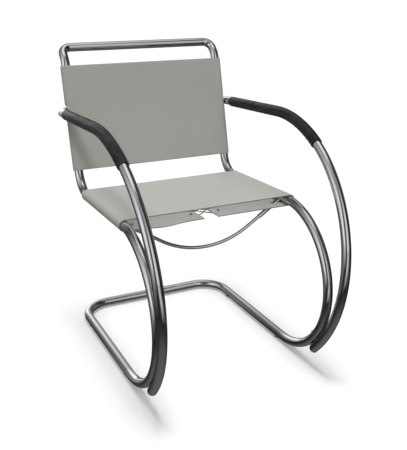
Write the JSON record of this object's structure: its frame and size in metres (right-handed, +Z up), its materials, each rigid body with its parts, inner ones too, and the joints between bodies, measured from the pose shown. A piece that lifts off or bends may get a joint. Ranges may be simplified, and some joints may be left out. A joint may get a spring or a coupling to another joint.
{
  "type": "cantilever chair",
  "caption": "Cantilever armchair: one bent chromed tube loop, hugging arm tubes with leather wraps, laced leather slings for seat and back.",
  "frame": {"origin": "on the floor, at the centre of the chair's overall box", "axes": "+Z up, the chair faces -Y, +X is the sitter's left"},
  "size_m": [0.5304, 0.7339, 0.7927],
  "materials": {
    "chromed_tube": "bright polished chrome plate on steel tube",
    "chromed_rod": "bright chrome plate on a thin rod",
    "chromed_plug": "bright chrome plated domed cap",
    "steel_screw": "polished plated screw head",
    "steel_sleeve": "plain turned steel",
    "seat_leather": "smooth pale warm grey saddle leather, cut edges",
    "back_leather": "smooth pale warm grey saddle leather, cut edges",
    "black_leather": "soft wrinkled charcoal leather, slightly worn",
    "lace_cord": "round braided grey cord",
    "eyelet_metal": "nickel plated eyelet",
    "glide_plastic": "dark matt plastic pad"
  },
  "bodies": {
    "root": {"arm_foot_plug_left": "chromed_plug", "arm_foot_plug_right": "chromed_plug", "arm_front_screws": "steel_screw", "arm_hook_plug_left": "chromed_plug", "arm_hook_plug_right": "chromed_plug", "arm_rear_screws": "steel_screw", "arm_tube_left": "chromed_tube", "arm_tube_right": "chromed_tube", "arm_wrap_left": "black_leather", "arm_wrap_right": "black_leather", "back_eyelets": "eyelet_metal", "back_lace": "lace_cord", "back_sling": "back_leather", "base_frame": "chromed_tube", "glide_front_left": "glide_plastic", "glide_front_right": "glide_plastic", "glide_rear_left": "glide_plastic", "glide_rear_right": "glide_plastic", "joint_screws": "steel_screw", "rail_sleeve_left": "steel_sleeve", "rail_sleeve_right": "steel_sleeve", "seat_eyelets": "eyelet_metal", "seat_lace": "lace_cord", "seat_sling": "seat_leather", "stretcher_ferrule_left": "chromed_rod", "stretcher_ferrule_right": "chromed_rod", "stretcher_rod": "chromed_rod", "upper_frame": "chromed_tube"}
  },
  "joints": []
}
